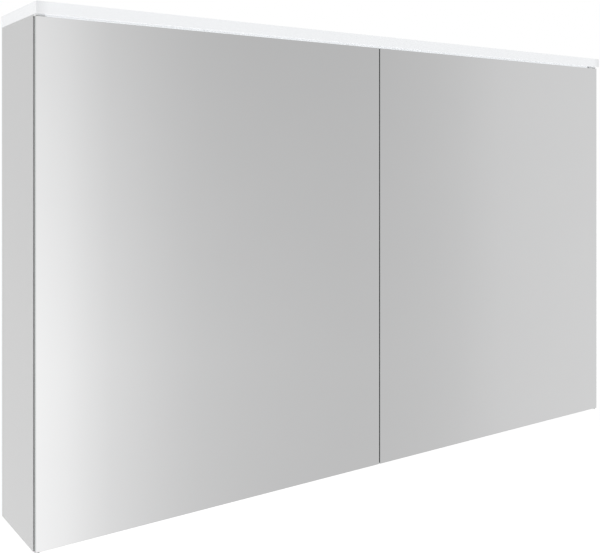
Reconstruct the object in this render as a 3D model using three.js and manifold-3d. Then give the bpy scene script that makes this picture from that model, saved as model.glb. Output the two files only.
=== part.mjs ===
// Wall-hung bathroom mirror cabinet: two full-overlay mirror doors on pivot hinges, glass shelves inside,
// and a luminous canopy over the whole top.
// Millimetres, +Z up. The origin is at the middle of the cabinet's box, at its underside. -Y is the front, and
// the wall is the plane y = wallY.
import * as THREE from "three";
import { mergeVertices } from "three/addons/utils/BufferGeometryUtils.js";
import Module from "manifold-3d";

const wasm = await Module();
wasm.setup();

// ---- Driving dimensions ----

// Boards
const cabinetWidth = 1200; // over the side panels
const cabinetHeight = 727; // of the side panels, without the canopy
const cabinetDepth = 146; // of the side panels, from the wall to their front edges
const boardThickness = 16;
const backThickness = 5;
const serviceDepth = 18; // free depth behind the back panel
const grooveDepth = 6; // how far the back panel enters the boards around it
const fitGap = 0.25; // between pieces that are glued, screwed or laid together

// Doors
const doorSplit = 2; // between the two doors
const mirrorThickness = 4;
const frameThickness = 5.25;
const frameWidth = 25; // of the profiles behind the mirror
const rearMirrorThickness = 3;
const rearMirrorPlay = 0.5; // between the rear mirror and the profiles around it
const swingClearance = 0.3; // between a door's hinge-side corner and the side panel as it swings past

// Pivot hinges, in the gap above and below each door
const pivotInset = 3.5; // from the pivot axis to the door's outer edge
const pinRadius = 1.75;
const pinPlay = 0.1;
const plateThickness = 1.25;
const plateInset = 3; // board left standing between a plate's seat and the cabinet's outer side
const plateInnerWall = 2; // board left standing between a plate's seat and the inside
const plateSeatLength = 38; // how far a plate reaches back over its side panel
const shoeThickness = 0.75;
const shoeLength = 16;
const shoeNose = 2; // ahead of the pin's axis

// Canopy
const canopyHeight = 17; // from the boards' top to the canopy's top
const canopySideOverhang = 1;
const canopyNose = 5; // ahead of the doors
const canopyWall = 3;
const canopyLip = 2; // thickness of the underside over the doors
const basePlateThickness = 1.5;
const ledBoardThickness = 1.5;
const ledBoardWidth = 12;
const ledBoardSetback = 5; // from the boards' front edges
const ledBoardEndGap = 16; // to the side panels' outer sides
const driverLength = 200;
const driverWidth = 40;
const driverHeadroom = 2;
const driverEndGap = 68; // to the canopy's right wall
const driverBackGap = 25; // to the canopy's back wall

// Light bar let into the top board's front edge
const lightBarHeight = 7.75;
const lightBarDepth = 11;

// Shelves
const shelfThickness = 5;
const shelfFrontInset = 12;
const shelfBackGap = 2;
const holePitch = 32; // of the rows of shelf-pin holes
const shelfHoles = { lower: 7, upper: 14 }; // the hole that carries each shelf, counted from the bottom board
const spareHoles = 1; // further holes above and below each one in use
const pinInset = 25; // from a shelf's front and rear edges to its pins
const shelfPinRadius = 2.5;
const shelfPinCollarRadius = 4;
const shelfPinCollar = 1.25;
const shelfPinReach = 8; // of the stub that the shelf lies on
const shelfPinPlay = 0.25; // around a pin in its hole
const holeWeb = 2; // board left between the holes on the two faces of the partition

// Finger recess under the doors' free edges
const recessWidth = 240;
const recessDepth = 18;
const recessHeight = 11;
const recessCornerRadius = 9;

// Magnets that hold the doors shut, in the bottom board's front edge
const magnetWidth = 30;
const magnetHeight = 8;
const magnetDepth = 8;
const magnetFromRecess = 30; // from the recess's end to the magnet

// Hanging rail behind the back panel
const railGauge = 2;
const railFlangeHeight = 60;
const railLipHeight = 18;
const railDrop = 20; // from the rail's upper edge to the web that the wall rail carries
const railWallGap = 2;

// Switch and socket box on the right side panel, and the mains inlet beside it
const outletDepth = 34;
const outletWidth = 54;
const outletHeight = 104;
const outletAboveFloor = 14;
const outletFrontInset = 25;
const socketRadius = 21.5;
const socketWall = 2;
const socketDepth = 20;
const socketFloor = 3;
const socketCentreUp = 30; // above the box's underside
const rockerWidth = 20;
const rockerHeight = 26;
const rockerBack = 4.5; // of the rocker's body behind its pivot
const rockerFace = 1; // from the pivot to the low middle of the rocker's face
const rockerPlay = 1.5;
const rockerTilt = THREE.MathUtils.degToRad(5);
const rockerCentreUp = 78;
const rockerPocketDepth = 9;
const rockerPivotDepth = 2.5; // behind the box's face
const inletHoleRadius = 10;
const inletFlangeRadius = 14;
const inletFlange = 1.75;
const inletPassageRadius = 6;
const inletFromSide = 44;
const inletAboveFloor = 74;

// ---- Worked out from the driving dimensions ----

const roundUpToQuarter = (length) => Math.ceil(length * 4) / 4;

const doorThickness = mirrorThickness + fitGap + frameThickness;
const hingeCornerRadius = Math.hypot(pivotInset, doorThickness / 2);
const doorBackGap = roundUpToQuarter(hingeCornerRadius - doorThickness / 2 + swingClearance);
const doorEndGap = plateThickness + shoeThickness + 3 * fitGap;
const totalDepth = canopyNose + doorThickness + doorBackGap + cabinetDepth;

const wallY = totalDepth / 2;
const frontY = wallY - cabinetDepth; // the boards' front edges
const doorBackY = frontY - doorBackGap;
const doorFrontY = doorBackY - doorThickness;
const pivotY = doorBackY - doorThickness / 2;
const backFrontY = wallY - serviceDepth - backThickness; // the back panel's inner face
const backRearY = wallY - serviceDepth;

const outerX = cabinetWidth / 2;
const innerX = outerX - boardThickness; // the side panels' inner faces
const partitionX = boardThickness / 2;
const floorZ = boardThickness; // the bottom board's upper face
const ceilingZ = cabinetHeight - boardThickness; // the top board's underside

const doorBottomZ = doorEndGap;
const doorTopZ = cabinetHeight - doorEndGap;
const doorWidth = outerX - doorSplit / 2;

const shelfFrontY = frontY + shelfFrontInset;
const shelfBackY = backFrontY - shelfBackGap;
const shelfSideGap = shelfPinCollar + 2 * fitGap; // a shelf's ends clear the pins' collars
const shelfPinYs = [shelfFrontY + pinInset, shelfBackY - pinInset];
const pinHoleDepth = (boardThickness - holeWeb) / 2;
const holeZ = (count) => floorZ + count * holePitch;

const SIDES = { left: -1, right: 1 };
const ROUND = 24; // sides of a pin, a hole and a recess
const SMALL_ROUND = 12; // sides of a shelf pin and its hole

// ---- Finishes ----

const FINISHES = {
  lacquer: { color: 0xd3d4d6, roughness: 0.5, metalness: 0 },
  mirror: { color: 0xe6e9ea, roughness: 0.03, metalness: 1 },
  aluminium: { color: 0xb9bcbe, roughness: 0.35, metalness: 0.9 },
  steel: { color: 0x9c9fa1, roughness: 0.4, metalness: 0.9 },
  opal: { color: 0xf8f9fb, roughness: 0.25, metalness: 0, emissive: 0xffffff, emissiveIntensity: 0.4 },
  glass: { color: 0xdfeeea, roughness: 0.05, metalness: 0, transparent: true, opacity: 0.35 },
  whitePlastic: { color: 0xf0f0ee, roughness: 0.45, metalness: 0 },
  greyPlastic: { color: 0x8b8e90, roughness: 0.55, metalness: 0 },
  ledBoard: { color: 0xf4efdc, roughness: 0.6, metalness: 0 },
};

function mesh(name, geometry, finish) {
  const made = new THREE.Mesh(geometry, new THREE.MeshStandardMaterial(FINISHES[finish]));
  made.name = name;
  return made;
}

// ---- Shapes ----

// A block between two ends along each axis, in either order.
function blockGeometry(xEnds, yEnds, zEnds) {
  const size = [xEnds, yEnds, zEnds].map(([a, b]) => Math.abs(b - a));
  const centre = [xEnds, yEnds, zEnds].map(([a, b]) => (a + b) / 2);
  return new THREE.BoxGeometry(...size).translate(...centre);
}

function block(name, xEnds, yEnds, zEnds, finish) {
  const size = [xEnds, yEnds, zEnds].map(([a, b]) => Math.abs(b - a));
  const made = mesh(name, new THREE.BoxGeometry(...size), finish);
  made.position.set(...[xEnds, yEnds, zEnds].map(([a, b]) => (a + b) / 2));
  return made;
}

// A round bar or hole along one axis ("x", "y" or "z"), between two ends on it.
function roundGeometry(axis, [start, end], radius, sides = ROUND) {
  const geometry = new THREE.CylinderGeometry(radius, radius, Math.abs(end - start), sides);
  geometry.translate(0, (start + end) / 2, 0);
  if (axis === "x") geometry.rotateZ(-Math.PI / 2);
  if (axis === "z") geometry.rotateX(Math.PI / 2);
  return geometry;
}

// A flat outline in plan, from one height to another.
function plateGeometry(shape, [bottom, top]) {
  const settings = { depth: top - bottom, bevelEnabled: false, curveSegments: ROUND / 2 };
  return new THREE.ExtrudeGeometry(shape, settings).translate(0, 0, bottom);
}

function toSolid(geometry) {
  const bare = new THREE.BufferGeometry().setAttribute("position", geometry.getAttribute("position"));
  if (geometry.index) bare.setIndex(geometry.index);
  const merged = mergeVertices(bare, 1e-4);
  const vertProperties = merged.getAttribute("position").array;
  const triVerts = new Uint32Array(merged.index.array);
  return new wasm.Manifold(new wasm.Mesh({ numProp: 3, vertProperties, triVerts }));
}

function toGeometry(solid) {
  const { vertProperties, triVerts } = solid.getMesh();
  const geometry = new THREE.BufferGeometry();
  geometry.setAttribute("position", new THREE.BufferAttribute(vertProperties, 3));
  geometry.setIndex(new THREE.BufferAttribute(triVerts, 1)).computeVertexNormals();
  return geometry;
}

const cut = (base, cutters) =>
  toGeometry(cutters.reduce((solid, cutter) => solid.subtract(toSolid(cutter)), toSolid(base)));

const join = (pieces) => toGeometry(pieces.map(toSolid).reduce((solid, piece) => solid.add(piece)));

// ---- Boards ----

// Blind holes for shelf pins in a board's face at x, bored in the direction into the board.
function shelfPinHoles(x, into) {
  const counts = new Set();
  for (const used of Object.values(shelfHoles))
    for (let step = -spareHoles; step <= spareHoles; step++) counts.add(used + step);
  const radius = shelfPinRadius + shelfPinPlay;
  return [...counts].flatMap((count) =>
    shelfPinYs.map((y) =>
      roundGeometry("x", [x - into, x + into * pinHoleDepth], radius, SMALL_ROUND).translate(0, y, holeZ(count)),
    ),
  );
}

// The groove for the back panel, cut into every board around it.
function backGroove(xEnds, zEnds) {
  return blockGeometry(xEnds, [backFrontY - fitGap, backRearY + fitGap], zEnds);
}

const grooveReach = grooveDepth + fitGap;

// Seats for the pivot plates in a side panel's upper and lower edges, in the cabinet's frame.
function plateSeats(side) {
  const xEnds = [side * (outerX - plateInset + fitGap), side * (innerX + plateInnerWall - fitGap)];
  const yEnds = [frontY - 1, frontY + plateSeatLength + fitGap];
  const depth = plateThickness + 2 * fitGap;
  return [
    blockGeometry(xEnds, yEnds, [cabinetHeight - depth, cabinetHeight + 1]),
    blockGeometry(xEnds, yEnds, [-1, depth]),
  ];
}

function sidePanel(name, side) {
  const board = blockGeometry([side * innerX, side * outerX], [frontY, wallY], [0, cabinetHeight]);
  const groove = backGroove(
    [side * (innerX - 1), side * (innerX + grooveReach)],
    [floorZ - grooveReach, ceilingZ + grooveReach],
  );
  const cutters = [groove, ...plateSeats(side), ...shelfPinHoles(side * innerX, side)];
  return mesh(`side_panel_${name}`, cut(board, cutters), "lacquer");
}

function topPanel() {
  const length = innerX - fitGap;
  const board = blockGeometry([-length, length], [frontY, wallY], [ceilingZ, cabinetHeight]);
  const groove = backGroove([-outerX, outerX], [ceilingZ - 1, ceilingZ + grooveReach]);
  const rebate = blockGeometry(
    [-outerX, outerX],
    [frontY - 1, frontY + lightBarDepth + ledBoardThickness + 2 * fitGap],
    [cabinetHeight - lightBarHeight - fitGap, cabinetHeight + 1],
  );
  return mesh("top_panel", cut(board, [groove, rebate]), "lacquer");
}

// A slot with rounded rear corners, open to the front and to the underside.
function fingerRecess() {
  const half = recessWidth / 2;
  const rearY = frontY + recessDepth;
  const plan = new THREE.Shape();
  plan.moveTo(-half, frontY - 1);
  plan.lineTo(half, frontY - 1);
  plan.absarc(half - recessCornerRadius, rearY - recessCornerRadius, recessCornerRadius, 0, Math.PI / 2);
  plan.absarc(-half + recessCornerRadius, rearY - recessCornerRadius, recessCornerRadius, Math.PI / 2, Math.PI);
  return plateGeometry(plan, [-1, recessHeight]);
}

const magnetCentreX = recessWidth / 2 + magnetFromRecess + magnetWidth / 2;

function magnetEnds(side, play) {
  const centreZ = floorZ / 2;
  return [
    [side * magnetCentreX - magnetWidth / 2 - play, side * magnetCentreX + magnetWidth / 2 + play],
    [centreZ - magnetHeight / 2 - play, centreZ + magnetHeight / 2 + play],
  ];
}

function bottomPanel() {
  const length = innerX - fitGap;
  const board = blockGeometry([-length, length], [frontY, wallY], [0, floorZ]);
  const groove = backGroove([-outerX, outerX], [floorZ - grooveReach, floorZ + 1]);
  const pockets = Object.values(SIDES).map((side) => {
    const [xEnds, zEnds] = magnetEnds(side, fitGap);
    return blockGeometry(xEnds, [frontY - 1, frontY + magnetDepth + fitGap], zEnds);
  });
  return mesh("bottom_panel", cut(board, [groove, fingerRecess(), ...pockets]), "lacquer");
}

function centrePartition() {
  const board = blockGeometry(
    [-partitionX, partitionX],
    [frontY, backFrontY - fitGap],
    [floorZ + fitGap, ceilingZ - fitGap],
  );
  const holes = Object.values(SIDES).flatMap((side) => shelfPinHoles(side * partitionX, -side));
  return mesh("centre_partition", cut(board, holes), "lacquer");
}

const inletX = innerX - inletFromSide;
const inletZ = floorZ + inletAboveFloor;

function backPanel() {
  const half = innerX + grooveDepth;
  const board = blockGeometry([-half, half], [backFrontY, backRearY], [floorZ - grooveDepth, ceilingZ + grooveDepth]);
  const hole = roundGeometry("y", [backFrontY - 1, backRearY + 1], inletHoleRadius + fitGap);
  return mesh("back_panel", cut(board, [hole.translate(inletX, 0, inletZ)]), "lacquer");
}

function catchMagnet(name, side) {
  const [xEnds, zEnds] = magnetEnds(side, 0);
  return block(`catch_magnet_${name}`, xEnds, [doorBackY + fitGap, frontY + magnetDepth], zEnds, "steel");
}

// ---- Pivot plates on the cabinet, and the doors' shoes ----

// Ends of a plate or a shoe along Z, counted away from the door's end.
const shoeStart = fitGap;
const plateStart = shoeStart + shoeThickness + fitGap;
const noseRadius = pivotInset - fitGap;

// Heights for a stack that starts at the door's upper or lower end.
const stack = (end, from, to) => {
  const doorEnd = end === "top" ? doorTopZ : doorBottomZ;
  const away = end === "top" ? 1 : -1;
  return [doorEnd + away * from, doorEnd + away * to].sort((a, b) => a - b);
};

// The plan is drawn about the pivot axis, with the cabinet's middle towards +X.
function pivotPlate(name, side, end) {
  const boardFront = frontY - pivotY;
  const outer = plateInset - pivotInset;
  const inner = boardThickness - plateInnerWall - pivotInset;
  const plan = new THREE.Shape();
  plan.moveTo(-noseRadius, 0);
  plan.absarc(0, 0, noseRadius, Math.PI, 2 * Math.PI);
  plan.lineTo(inner, noseRadius);
  plan.lineTo(inner, boardFront + plateSeatLength);
  plan.lineTo(outer, boardFront + plateSeatLength);
  plan.lineTo(outer, boardFront - fitGap);
  plan.lineTo(-noseRadius, boardFront - fitGap);
  const hole = new THREE.Path().absarc(0, 0, pinRadius + pinPlay, 0, 2 * Math.PI);
  plan.holes.push(hole);
  const geometry = plateGeometry(plan, stack(end, plateStart, plateStart + plateThickness));
  const solid = side < 0 ? geometry : mirrored(geometry);
  const made = mesh(`pivot_plate_${end}_${name}`, solid, "steel");
  made.position.set(side * (outerX - pivotInset), pivotY, 0);
  return made;
}

// The same shape with left and right changed over, its faces still pointing out.
function mirrored(geometry) {
  const flipped = toSolid(geometry).mirror([1, 0, 0]);
  return toGeometry(flipped);
}

// A shoe plate on the door's end, with the pin that turns in the pivot plate.
function pivotShoe(name, side, end) {
  const halfWidth = doorThickness / 2 - fitGap;
  const inward = -side;
  const xEnds = [-inward * noseRadius, inward * (shoeLength - noseRadius)];
  const plate = blockGeometry(xEnds, [-shoeNose, halfWidth], stack(end, shoeStart, shoeStart + shoeThickness));
  const pin = roundGeometry("z", stack(end, shoeStart, plateStart + plateThickness), pinRadius);
  return mesh(`door_${name}_${end}_pivot`, join([plate, pin]), "steel");
}

// ---- Doors ----

// Each door's group has its origin on the pivot axis.
function door(name, side) {
  const group = new THREE.Group();
  group.position.set(side * (outerX - pivotInset), pivotY, 0);
  const inward = -side;
  const across = (from, to) => [inward * (from - pivotInset), inward * (to - pivotInset)]; // from the outer edge
  const front = -doorThickness / 2;
  const back = doorThickness / 2;
  const frame = [back - frameThickness, back];
  const height = [doorBottomZ, doorTopZ];
  const railEnds = across(frameWidth + fitGap, doorWidth - frameWidth - fitGap);
  const glassEnds = across(frameWidth + rearMirrorPlay, doorWidth - frameWidth - rearMirrorPlay);
  const glassHeight = [doorBottomZ + frameWidth + rearMirrorPlay, doorTopZ - frameWidth - rearMirrorPlay];
  const piece = (part, xEnds, yEnds, zEnds, finish) =>
    group.add(block(`door_${name}_${part}`, xEnds, yEnds, zEnds, finish));

  piece("mirror", across(0, doorWidth), [front, front + mirrorThickness], height, "mirror");
  piece("hinge_stile", across(0, frameWidth), frame, height, "aluminium");
  piece("free_stile", across(doorWidth - frameWidth, doorWidth), frame, height, "aluminium");
  piece("top_rail", railEnds, frame, [doorTopZ - frameWidth, doorTopZ], "aluminium");
  piece("bottom_rail", railEnds, frame, [doorBottomZ, doorBottomZ + frameWidth], "steel");
  piece("rear_mirror", glassEnds, [back - rearMirrorThickness, back], glassHeight, "mirror");
  group.add(pivotShoe(name, side, "top"), pivotShoe(name, side, "bottom"));
  return group;
}

// ---- Canopy ----

function canopy() {
  const group = new THREE.Group();
  const top = canopyHeight;
  const halfWidth = outerX + canopySideOverhang;
  const cavityX = halfWidth - canopyWall;
  const cavityBack = wallY - canopyWall;
  const lipBack = frontY - 1;
  const shell = blockGeometry([-halfWidth, halfWidth], [-wallY, wallY], [fitGap, top]);
  const cavity = blockGeometry(
    [-cavityX, cavityX],
    [-wallY + canopyWall, cavityBack],
    [fitGap + canopyLip, top - canopyWall],
  );
  const mouth = blockGeometry([-cavityX, cavityX], [lipBack, cavityBack], [-1, fitGap + canopyLip + 1]);
  group.add(mesh("canopy_cover", cut(shell, [cavity, mouth]), "opal"));

  const baseTop = fitGap + basePlateThickness;
  const baseX = cavityX - fitGap;
  const baseYs = [lipBack + fitGap, cavityBack - fitGap];
  group.add(block("canopy_base_plate", [-baseX, baseX], baseYs, [fitGap, baseTop], "aluminium"));

  const onPlate = baseTop + fitGap;
  const ledX = outerX - ledBoardEndGap;
  const ledYs = [frontY + ledBoardSetback, frontY + ledBoardSetback + ledBoardWidth];
  group.add(block("canopy_led_strip", [-ledX, ledX], ledYs, [onPlate, onPlate + ledBoardThickness], "ledBoard"));

  const driverRight = cavityX - driverEndGap;
  const driverRear = cavityBack - driverBackGap;
  const driverTop = top - canopyWall - driverHeadroom;
  group.add(
    block(
      "led_driver",
      [driverRight - driverLength, driverRight],
      [driverRear - driverWidth, driverRear],
      [onPlate, driverTop],
      "whitePlastic",
    ),
  );
  group.position.z = cabinetHeight;
  return group;
}

// The bar and its light strip lie in the rebate of the top board.
function lightBar() {
  const half = innerX - fitGap;
  const heights = [cabinetHeight - lightBarHeight, cabinetHeight];
  const stripFront = frontY + lightBarDepth + fitGap;
  return [
    block("light_bar", [-half, half], [frontY, frontY + lightBarDepth], heights, "opal"),
    block("light_bar_led_strip", [-half, half], [stripFront, stripFront + ledBoardThickness], heights, "ledBoard"),
  ];
}

// ---- Shelves ----

function shelfPin(name, x, into, y, z) {
  const shaft = pinHoleDepth - 2 * fitGap;
  const profile = [
    [0, -shaft],
    [shelfPinRadius, -shaft],
    [shelfPinRadius, fitGap],
    [shelfPinCollarRadius, fitGap],
    [shelfPinCollarRadius, fitGap + shelfPinCollar],
    [shelfPinRadius, fitGap + shelfPinCollar],
    [shelfPinRadius, fitGap + shelfPinCollar + shelfPinReach],
    [0, fitGap + shelfPinCollar + shelfPinReach],
  ].map(([radius, along]) => new THREE.Vector2(radius, along));
  const made = mesh(name, new THREE.LatheGeometry(profile, SMALL_ROUND), "steel");
  made.rotation.z = (into * Math.PI) / 2;
  made.position.set(x, y, z);
  return made;
}

// One shelf and its four pins, between a side panel and the partition.
function shelf(name, side, level, count) {
  const z = holeZ(count);
  const under = z + shelfPinRadius + fitGap;
  const xEnds = [side * (partitionX + shelfSideGap), side * (innerX - shelfSideGap)];
  const zEnds = [under, under + shelfThickness];
  const label = `${name}_${level}`;
  const pieces = [block(`shelf_${label}`, xEnds, [shelfFrontY, shelfBackY], zEnds, "glass")];
  const places = { front: shelfPinYs[0], rear: shelfPinYs[1] };
  for (const [place, y] of Object.entries(places)) {
    pieces.push(shelfPin(`shelf_pin_${label}_${place}_outer`, side * innerX, side, y, z));
    pieces.push(shelfPin(`shelf_pin_${label}_${place}_inner`, side * partitionX, -side, y, z));
  }
  return pieces;
}

// ---- Hanging rail ----

// A hook section that runs from one side panel to the other: its web lies on the wall rail's upstand.
function hangingRail() {
  const flangeY = backRearY + 2 * fitGap;
  const lipY = wallY - railWallGap;
  const upper = ceilingZ - fitGap;
  const webTop = upper - railDrop;
  const webBottom = webTop - railGauge;
  const section = new THREE.Shape(
    [
      [flangeY, upper - railFlangeHeight],
      [flangeY + railGauge, upper - railFlangeHeight],
      [flangeY + railGauge, webBottom],
      [lipY - railGauge, webBottom],
      [lipY - railGauge, webTop - railLipHeight],
      [lipY, webTop - railLipHeight],
      [lipY, webTop],
      [flangeY + railGauge, webTop],
      [flangeY + railGauge, upper],
      [flangeY, upper],
    ].map(([y, z]) => new THREE.Vector2(y, z)),
  );
  const half = innerX - fitGap;
  const geometry = new THREE.ExtrudeGeometry(section, { depth: 2 * half, bevelEnabled: false });
  geometry.translate(0, 0, -half);
  // The section is drawn in X and Y: turn it to stand in Y and Z, with its length along X.
  geometry.rotateY(Math.PI / 2).rotateX(Math.PI / 2);
  return mesh("hanging_rail", geometry, "aluminium");
}

// ---- Switch, socket and mains inlet ----

// The box's frame: origin on its face, +X into the side panel.
const outletFaceX = innerX - fitGap - outletDepth;
const outletCentreY = frontY + outletFrontInset + outletWidth / 2;
const outletBottomZ = floorZ + outletAboveFloor;
const rockerX = outletFaceX + rockerPivotDepth;
const rockerZ = outletBottomZ + rockerCentreUp;

function outlet() {
  const group = new THREE.Group();
  group.position.set(outletFaceX, outletCentreY, outletBottomZ);
  const box = blockGeometry([0, outletDepth], [-outletWidth / 2, outletWidth / 2], [0, outletHeight]);
  const socketPocket = roundGeometry("x", [-1, socketDepth + fitGap], socketRadius + fitGap);
  const halfPocketWidth = rockerWidth / 2 + fitGap;
  const halfPocketHeight = rockerHeight / 2 + rockerPlay;
  const rockerPocket = blockGeometry(
    [-1, rockerPocketDepth],
    [-halfPocketWidth, halfPocketWidth],
    [rockerCentreUp - halfPocketHeight, rockerCentreUp + halfPocketHeight],
  );
  group.add(mesh("outlet_box", cut(box, [socketPocket.translate(0, 0, socketCentreUp), rockerPocket]), "whitePlastic"));

  const cup = cut(roundGeometry("x", [0, socketDepth], socketRadius), [
    roundGeometry("x", [-1, socketDepth - socketFloor], socketRadius - socketWall),
  ]);
  const socket = mesh("socket_insert", cup, "whitePlastic");
  socket.position.z = socketCentreUp;
  group.add(socket);
  return group;
}

// A rocker with a shallow V face. It turns about Y, and one half of its face is pressed in.
function switchRocker() {
  const half = rockerHeight / 2;
  const rise = half * Math.tan(rockerTilt);
  const section = new THREE.Shape(
    [
      [rockerBack, -half],
      [rockerBack, half],
      [-rockerFace - rise, half],
      [-rockerFace, 0],
      [-rockerFace - rise, -half],
    ].map(([x, z]) => new THREE.Vector2(x, -z)),
  );
  const geometry = new THREE.ExtrudeGeometry(section, { depth: rockerWidth, bevelEnabled: false });
  geometry.translate(0, 0, -rockerWidth / 2).rotateX(-Math.PI / 2);
  const rocker = mesh("switch_rocker", geometry, "whitePlastic");
  rocker.position.set(rockerX, outletCentreY, rockerZ);
  rocker.rotation.y = -rockerTilt;
  return rocker;
}

// A flanged bush in the back panel, through which the mains lead would pass.
function cableInlet() {
  const inner = backFrontY - fitGap;
  const rear = backRearY + fitGap;
  const profile = [
    [inletPassageRadius, inner - inletFlange],
    [inletFlangeRadius, inner - inletFlange],
    [inletFlangeRadius, inner],
    [inletHoleRadius, inner],
    [inletHoleRadius, rear],
    [inletPassageRadius, rear],
    [inletPassageRadius, inner - inletFlange],
  ].map(([radius, along]) => new THREE.Vector2(radius, along));
  const inlet = mesh("cable_inlet", new THREE.LatheGeometry(profile, ROUND), "greyPlastic");
  inlet.position.set(inletX, 0, inletZ);
  return inlet;
}

// ---- The whole cabinet ----

const cabinet = new THREE.Group();
cabinet.add(topPanel(), bottomPanel(), centrePartition(), backPanel(), hangingRail(), ...lightBar(), canopy());
cabinet.add(outlet(), switchRocker(), cableInlet());
for (const [name, side] of Object.entries(SIDES)) {
  cabinet.add(sidePanel(name, side), catchMagnet(name, side), door(name, side));
  cabinet.add(pivotPlate(name, side, "top"), pivotPlate(name, side, "bottom"));
  for (const [level, count] of Object.entries(shelfHoles)) cabinet.add(...shelf(name, side, level, count));
}

export default cabinet;
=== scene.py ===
"""The looks of a wall-hung mirror cabinet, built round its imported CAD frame.

Metres, +Z up, the front faces -Y.
"""
import math

import bmesh
import bpy
from mathutils import Matrix, Vector

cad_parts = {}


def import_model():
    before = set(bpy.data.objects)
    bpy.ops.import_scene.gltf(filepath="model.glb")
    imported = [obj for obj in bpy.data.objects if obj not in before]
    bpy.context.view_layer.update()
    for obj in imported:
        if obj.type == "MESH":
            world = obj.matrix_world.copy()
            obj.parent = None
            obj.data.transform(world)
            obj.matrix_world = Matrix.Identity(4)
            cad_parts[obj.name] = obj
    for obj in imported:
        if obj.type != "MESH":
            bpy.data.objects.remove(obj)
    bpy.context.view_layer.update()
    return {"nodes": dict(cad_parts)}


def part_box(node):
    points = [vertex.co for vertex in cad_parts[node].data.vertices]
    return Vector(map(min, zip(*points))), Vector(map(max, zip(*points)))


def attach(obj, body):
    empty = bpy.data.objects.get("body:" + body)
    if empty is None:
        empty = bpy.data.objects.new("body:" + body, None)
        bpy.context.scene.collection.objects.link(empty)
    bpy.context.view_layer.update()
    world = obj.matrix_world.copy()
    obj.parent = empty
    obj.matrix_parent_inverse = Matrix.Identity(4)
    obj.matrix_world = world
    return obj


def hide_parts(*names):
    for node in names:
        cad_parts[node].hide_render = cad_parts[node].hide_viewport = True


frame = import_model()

NODES = frame["nodes"]
MM = 0.001
DOORS = ("left", "right")

# ---- Node trees ----


def add(tree, kind, inputs=None, **settings):
    """A shader node. Its inputs take numbers, colours, or other nodes' output sockets."""
    node = tree.nodes.new(kind)
    for name, value in settings.items():
        setattr(node, name, value)
    for key, value in (inputs or {}).items():
        if isinstance(value, bpy.types.NodeSocket):
            tree.links.new(value, node.inputs[key])
        else:
            node.inputs[key].default_value = value
    return node


def math_node(tree, operation, first, second=0.0):
    """The result of a Math node on numbers or sockets."""
    return add(tree, "ShaderNodeMath", {0: first, 1: second}, operation=operation).outputs[0]


def ramp(tree, factor, stops, interpolation="LINEAR"):
    """A colour ramp. Each stop is a position and a grey level or a colour."""
    node = add(tree, "ShaderNodeValToRGB", {"Fac": factor})
    node.color_ramp.interpolation = interpolation
    elements = node.color_ramp.elements
    while len(elements) < len(stops):
        elements.new(0.5)
    for element, (position, level) in zip(elements, stops):
        element.position = position
    for element, (position, level) in zip(elements, stops):
        element.color = (*level, 1) if isinstance(level, tuple) else (level, level, level, 1)
    return node.outputs["Color"]


def spread(tree, factor, low, high):
    """A 0 to 1 factor taken to the range low to high."""
    node = add(tree, "ShaderNodeMapRange", {"Value": factor, "To Min": low, "To Max": high})
    return node.outputs["Result"]


def spread_from(tree, value, low, high):
    """A value in the range low to high taken to 0 to 1, and past that outside the range."""
    settings = {"Value": value, "From Min": low, "From Max": high}
    return add(tree, "ShaderNodeMapRange", settings, clamp=False).outputs["Result"]


def noise(tree, scale, detail=2.0, stretch=(1, 1, 1), roughness=0.5):
    """Noise with `scale` features to the metre, in the piece's own frame."""
    place = add(tree, "ShaderNodeTexCoord").outputs["Object"]
    moved = add(tree, "ShaderNodeMapping", {"Vector": place, "Scale": stretch}).outputs["Vector"]
    settings = {"Vector": moved, "Scale": scale, "Detail": detail, "Roughness": roughness}
    return add(tree, "ShaderNodeTexNoise", settings).outputs["Fac"]


def bump(tree, height, depth):
    """A bump whose height texture runs over `depth` metres."""
    settings = {"Height": height, "Distance": depth, "Strength": 1.0}
    return add(tree, "ShaderNodeBump", settings).outputs["Normal"]


def tint(tree, factor, low, high):
    """A colour between low and high."""
    return mix(tree, factor, (*low, 1), (*high, 1))


def mix(tree, factor, first, second, **settings):
    """Two colours mixed, or blended as the settings say."""
    inputs = {"Factor": factor, "A": first, "B": second}
    return add(tree, "ShaderNodeMix", inputs, data_type="RGBA", **settings).outputs["Result"]


def material(name, **sockets):
    """A Principled material with some sockets set, and its tree and shader."""
    made = bpy.data.materials.new(name)
    made.use_nodes = True
    tree = made.node_tree
    shader = tree.nodes["Principled BSDF"]
    for key, value in sockets.items():
        shader.inputs[key.replace("_", " ")].default_value = value
    return made, tree, shader


def link(tree, shader, **sources):
    """Links nodes' outputs to the shader's sockets by name."""
    for key, source in sources.items():
        tree.links.new(source, shader.inputs[key.replace("_", " ")])


def grey(level, warmth=0.0):
    """A near-neutral linear colour."""
    return (level * (1 + warmth), level, level * (1 - warmth))


# ---- Materials ----

ORANGE_PEEL = 420.0  # features to the metre in a sprayed finish
PEEL_DEPTH = 0.00003
CLOUDING = 5.0  # features to the metre of slow unevenness


def lacquer(name, level):
    """Sprayed satin lacquer: a fine orange peel, and a tone and sheen that drift slowly."""
    made, tree, shader = material(name, IOR=1.5, Coat_Weight=0.12, Coat_Roughness=0.2)
    clouds = noise(tree, CLOUDING, 3.0)
    peel = noise(tree, ORANGE_PEEL, 2.0)
    link(
        tree,
        shader,
        Base_Color=tint(tree, clouds, grey(level * 0.985, 0.002), grey(level * 1.015, -0.004)),
        Roughness=spread(tree, clouds, 0.36, 0.5),
        Normal=bump(tree, peel, PEEL_DEPTH),
    )
    return made


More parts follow.
